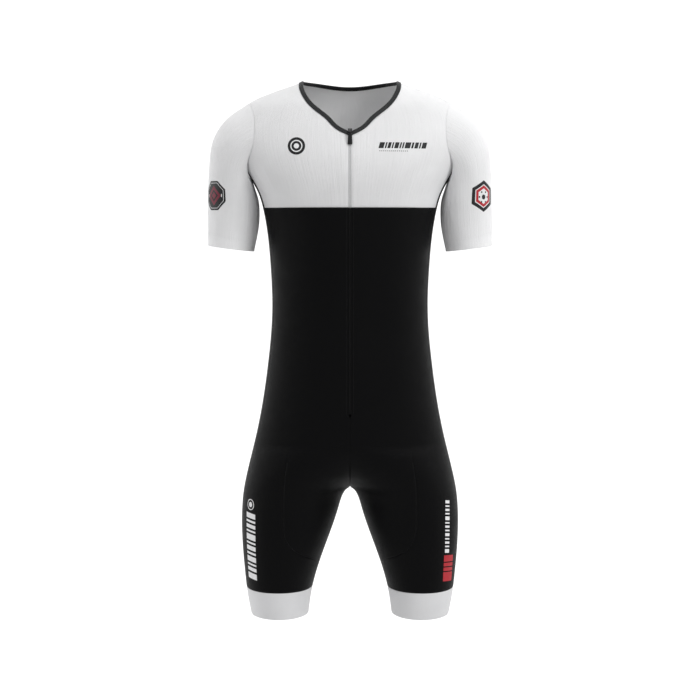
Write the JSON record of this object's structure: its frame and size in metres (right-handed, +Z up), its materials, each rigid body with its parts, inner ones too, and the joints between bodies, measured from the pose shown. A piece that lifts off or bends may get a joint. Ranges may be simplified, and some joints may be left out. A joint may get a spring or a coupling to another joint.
{
  "type": "triathlon suit",
  "caption": "Short-sleeved triathlon suit with a front zip, white yoke and sleeves, black body and white leg bands, as worn by a general figure.",
  "frame": {"origin": "the middle of the shoulders, level with the line where they carry the suit, halfway through its depth", "axes": "+Z up along the suit from the legs to the neck, the front with the zip facing -Y, the wearer's left side towards +X"},
  "size_m": [0.4954, 0.2392, 0.9325],
  "materials": {
    "white_cloth": "matte",
    "black_cloth": "satin",
    "band_cloth": "matte",
    "binding_cloth": "matte",
    "zip_tape": "satin",
    "zip_metal": "satin"
  },
  "bodies": {
    "suit": {"front_yoke_left": "white_cloth", "front_body_left": "black_cloth", "side_panel_left": "black_cloth", "back_body_left": "black_cloth", "leg_front_left": "black_cloth", "leg_band_left": "band_cloth", "sleeve_left": "white_cloth", "front_yoke_right": "white_cloth", "front_body_right": "black_cloth", "side_panel_right": "black_cloth", "back_body_right": "black_cloth", "leg_front_right": "black_cloth", "leg_band_right": "band_cloth", "sleeve_right": "white_cloth", "back_yoke": "white_cloth", "neck_binding": "binding_cloth", "zip": "zip_tape", "zip_slider": "zip_metal"},
    "pull_tab": {"zip_pull": "zip_metal"}
  },
  "joints": [
    {"name": "pull_tab_swing", "type": "hinge", "parent": "suit", "child": "pull_tab", "pos_m": [0, -0.09551, -0.06423], "axis": [-1, 0, 0], "range_deg": [0, 150]}
  ]
}
